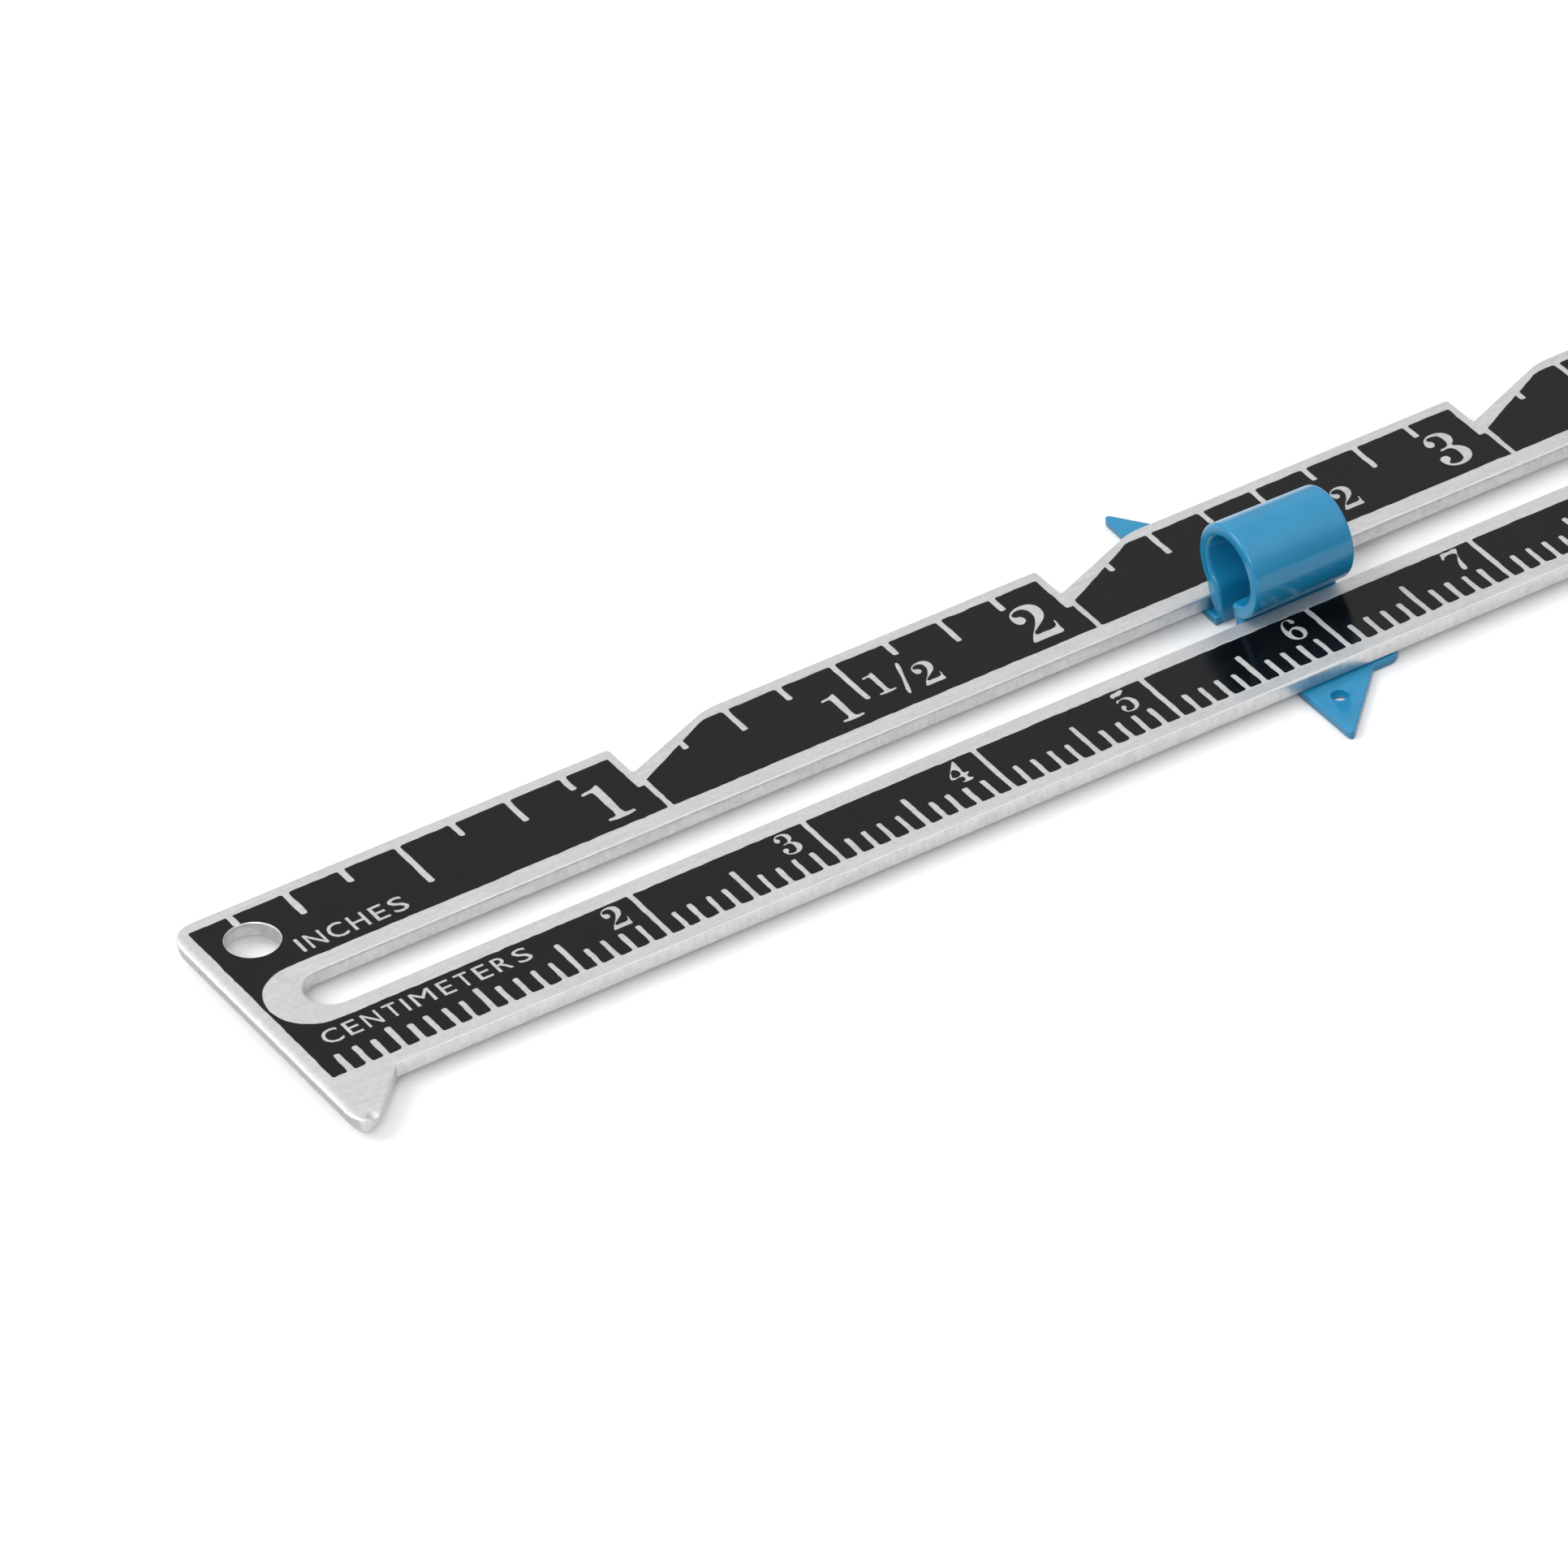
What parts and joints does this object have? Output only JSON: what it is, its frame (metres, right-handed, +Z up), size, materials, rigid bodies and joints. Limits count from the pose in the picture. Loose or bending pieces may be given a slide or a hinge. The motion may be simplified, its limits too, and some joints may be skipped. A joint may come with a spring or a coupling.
{
  "type": "sewing gauge",
  "caption": "Flat slotted aluminium sewing gauge with inch and centimetre scales, a notch at each inch, a pointed corner, and a plastic slider with a finger loop and two pointers.",
  "frame": {"origin": "on the surface that the gauge lies on, under the middle of its overall box", "axes": "+X along the rule from its zero end to its far end, +Y towards the inch edge with the notches, +Z up out of the printed face"},
  "size_m": [0.1524, 0.0219, 0.0065],
  "materials": {
    "aluminium": "satin, fine grain along the rule",
    "black_enamel": "semi-gloss enamel",
    "blue_plastic": "moulded, slightly glossy"
  },
  "bodies": {
    "rule": {"blade": "aluminium", "inch_scale_enamel": "black_enamel", "centimetre_scale_enamel": "black_enamel"},
    "slider": {"slider": "blue_plastic"}
  },
  "joints": [
    {"name": "slider_travel", "type": "slide", "parent": "rule", "child": "slider", "axis": [1, 0, 0], "range_m": [-0.0526, 0.0857]}
  ]
}
